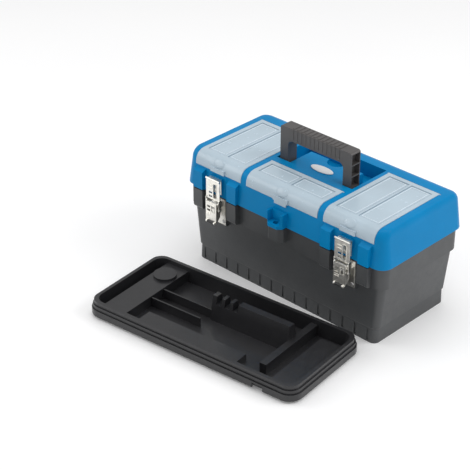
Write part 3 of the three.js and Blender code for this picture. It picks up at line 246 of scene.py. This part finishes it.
for side in ("left", "centre", "right"):
    finished_copy(f"organiser_lid_{side}", f"organiser_cover_{side}", f"cover_{side}",
                  frosted, 0.0006)
    low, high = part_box(f"organiser_lid_{side}")
    middle = (low[0] + high[0]) / 2
    floor = high[2] - 0.0008
    # Lines are raised ridges coloured lighter as painted highlight; the other bars are flat strips of
    # painted groove shadow.
    for name, material, inset, rise in (
        ("lines", painted_highlight_line, 0.004, 0.0005), ("groove_shadows", painted_groove_shadow, 0.0006, 0.0001),
    ):
        front, rear = low[1] + 0.0223 + inset, high[1] - 0.0095 - inset
        bars = []
        for x0, x1 in (
            (low[0] + 0.010 + inset, middle - 0.002 - inset),
            (middle + 0.002 + inset, high[0] - 0.010 - inset),
        ):
            for x in (x0, x1):
                bars.append(((x - 0.0005, front, floor - 0.0002), (x + 0.0005, rear, floor + rise)))
            for y in (front, rear):
                bars.append(((x0, y - 0.0005, floor - 0.0002), (x1, y + 0.0005, floor + rise)))
        show(f"cover_{name}_{side}", boxes_mesh(f"cover_{name}_{side}", bars, material, 0.00008),
             f"cover_{side}")
    tilt = radians(52)
    shoulder = Vector((middle, low[1] + 0.0203, high[2] - 0.0177))
    snap_place = shoulder + 0.0172 * Vector((0, -sin(tilt), cos(tilt)))
    snap_bm = bmesh.new()
    bmesh.ops.create_uvsphere(
        snap_bm, u_segments=40, v_segments=20, radius=1,
        matrix=Matrix.Translation(snap_place) @ Matrix.Rotation(tilt, 4, "X")
        @ Matrix.Diagonal((0.012, 0.0075, 0.0021, 1)),
    )
    snap_mesh = bpy.data.meshes.new(f"cover_snap_{side}")
    snap_bm.to_mesh(snap_mesh)
    snap_bm.free()
    snap_mesh.materials.append(frosted)
    show(f"cover_snap_{side}", snap_mesh, f"cover_{side}")

# ------------------------------------------------------------------ handle
# A warm grey moulding with open cells in the outer faces of its uprights. Twelve low ribs run
# over the grip and down its front and rear faces, so that the hand does not slip.
warm_grey = moulded_plastic("warm_grey_polypropylene", (0.072, 0.067, 0.066), 0.4, sheen=0.6)
finished_copy("carry_handle", "carry_handle_moulding", "handle", warm_grey, 0.0009)
low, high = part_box("carry_handle")
grip_top = high[2] - 0.0008
ribs = []
for rib in range(12):
    x = (rib - 5.5) * 0.0086
    for y in (low[1], high[1]):
        ribs.append((
            (x - 0.002, y - 0.0006, grip_top - 0.0185),
            (x + 0.002, y + 0.0006, grip_top - 0.0008),
        ))
show("grip_ribs", boxes_mesh("grip_ribs", ribs, warm_grey, 0.0004), "handle")

# ------------------------------------------------------------------ latches
# Toggle latches pressed from nickel-plated steel sheet, riveted to the tub and the lid. Folded
# rims stiffen the long slots and cross ribs are pressed into the broad strips beside them. The
# black sleeve round the lever's curled end is painted reflection: the dark tub mirrored in the curl.


def bright_metal(name, colour, roughness):
    material = bpy.data.materials.new(name)
    material.use_nodes = True
    tree = material.node_tree
    link = tree.links.new
    shader = tree.nodes["Principled BSDF"]
    shader.inputs["Metallic"].default_value = 1.0
    place = tree.nodes.new("ShaderNodeTexCoord")
    stretch = tree.nodes.new("ShaderNodeMapping")
    stretch.inputs["Scale"].default_value = (1.0, 1.0, 0.08)
    brush = add_node(tree, "ShaderNodeTexNoise", Scale=2500.0, Detail=3.0, Roughness=0.6)
    tarnish = add_node(tree, "ShaderNodeTexNoise", Scale=160.0, Detail=4.0, Roughness=0.6)
    link(place.outputs["Object"], stretch.inputs["Vector"])
    link(stretch.outputs["Vector"], brush.inputs["Vector"])
    link(place.outputs["Object"], tarnish.inputs["Vector"])
    shades = tree.nodes.new("ShaderNodeValToRGB")
    shades.color_ramp.elements[0].position = 0.35
    shades.color_ramp.elements[0].color = (*[channel * 0.84 for channel in colour], 1)
    shades.color_ramp.elements[1].position = 0.65
    shades.color_ramp.elements[1].color = (*colour, 1)
    link(tarnish.outputs["Fac"], shades.inputs["Fac"])
    link(shades.outputs["Color"], shader.inputs["Base Color"])
    dull = add_node(tree, "ShaderNodeMapRange", To_Min=roughness * 0.7, To_Max=roughness * 1.4)
    link(brush.outputs["Fac"], dull.inputs["Value"])
    link(dull.outputs["Result"], shader.inputs["Roughness"])
    bump = add_node(tree, "ShaderNodeBump", Distance=0.00001, Strength=0.4)
    link(brush.outputs["Fac"], bump.inputs["Height"])
    link(bump.outputs["Normal"], shader.inputs["Normal"])
    return material


nickel = bright_metal("nickel_plated_steel", (0.92, 0.90, 0.84), 0.3)
# The black sleeve is painted reflection, a dark part standing for the tub mirrored in the lever's curl.
dark_reflection_black = moulded_plastic("black_sleeve_painted_reflection", (0.012, 0.012, 0.013), 0.35)
for side in ("left", "right"):
    for part, body in (("base_plate", "box"), ("lever", f"lever_{side}"), ("bail", f"bail_{side}"),
                       ("strike_plate", "lid")):
        finished_copy(f"latch_{side}_{part}", f"latch_{side}_{part}_pressing", body,
                      nickel, 0.00025)
    lever_low, lever_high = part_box(f"latch_{side}_lever")
    bail_low, bail_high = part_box(f"latch_{side}_bail")
    middle = (lever_low[0] + lever_high[0]) / 2
    lever_face = lever_low[1] + 0.0029
    bail_face = bail_low[1] + 0.0017
    lever_top = lever_high[2]
    bail_bar = bail_high[2] - 0.0017
    for part, body, face, slot_low, slot_high, cross in (
        ("lever", f"lever_{side}", lever_face, lever_top - 0.018, lever_top - 0.006,
         (lever_top - 0.021, lever_top - 0.024)),
        ("bail", f"bail_{side}", bail_face, bail_bar - 0.0325, bail_bar - 0.0065,
         (bail_bar - 0.016, bail_bar - 0.0105)),
    ):
        beads = []
        for x in (middle + 0.0010, middle + 0.0080):
            beads.append((
                (x - 0.0004, face - 0.0004, slot_low),
                (x + 0.0004, face + 0.0002, slot_high),
            ))
        for z in (slot_low, slot_high):
            beads.append((
                (middle + 0.0010, face - 0.0004, z - 0.0004),
                (middle + 0.0080, face + 0.0002, z + 0.0004),
            ))
        for z in cross:
            beads.append((
                (middle - 0.0100, face - 0.0005, z - 0.0007),
                (middle - 0.0012, face + 0.0002, z + 0.0007),
            ))
        name = f"latch_{side}_{part}_beads"
        show(name, boxes_mesh(name, beads, nickel, 0.00015), body)
    # A black cylinder round the lever's curled end: painted reflection of the dark tub in the curl.
    sleeve_bm = bmesh.new()
    bmesh.ops.create_cone(
        sleeve_bm, cap_ends=True, segments=32, radius1=0.0028, radius2=0.0028, depth=0.014,
        matrix=Matrix.Translation((middle, lever_low[1] + 0.0023, lever_low[2] + 0.0023))
        @ Matrix.Rotation(radians(90), 4, "Y"),
    )
    round_edges(sleeve_bm, 0.0006, crease=60)
    sleeve_mesh = bpy.data.meshes.new(f"latch_{side}_sleeve")
    sleeve_bm.to_mesh(sleeve_mesh)
    sleeve_bm.free()
    sleeve_mesh.materials.append(dark_reflection_black)
    show(f"latch_{side}_sleeve", sleeve_mesh, f"lever_{side}")

# ------------------------------------------------------------------ pins and rivets
# Zinc-plated steel pins carry the lid, the handle and the latches, and domed rivets hold the
# latch plates to the two mouldings. They keep the shapes of the assembly.
zinc = bright_metal("zinc_plated_steel", (0.66, 0.66, 0.66), 0.34)
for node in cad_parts:
    if "rivet" in node or "_pin" in node:
        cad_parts[node].data.materials.clear()
        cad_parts[node].data.materials.append(zinc)

# ------------------------------------------------------------------ badge
# A blank oval plate of satin white plastic, pressed onto the block in the handle's pocket.
# Nothing is printed on it.
white = moulded_plastic("badge_white", (0.72, 0.73, 0.74), 0.3, shade=0.03)
finished_copy("badge_blank", "badge_plate", "lid", white, 0.0004)

# ------------------------------------------------------------------ tray
# The lift-out tray is a thinner moulding in near-black polypropylene, loose on the ground here.
# Its skirt drops over the step inside the tub's band when the tray is put away.
near_black = moulded_plastic("near_black_polypropylene", (0.017, 0.017, 0.019), 0.34, sheen=0.6)
finished_copy("tray_body", "tray_moulding", "tray", near_black, 0.0007)
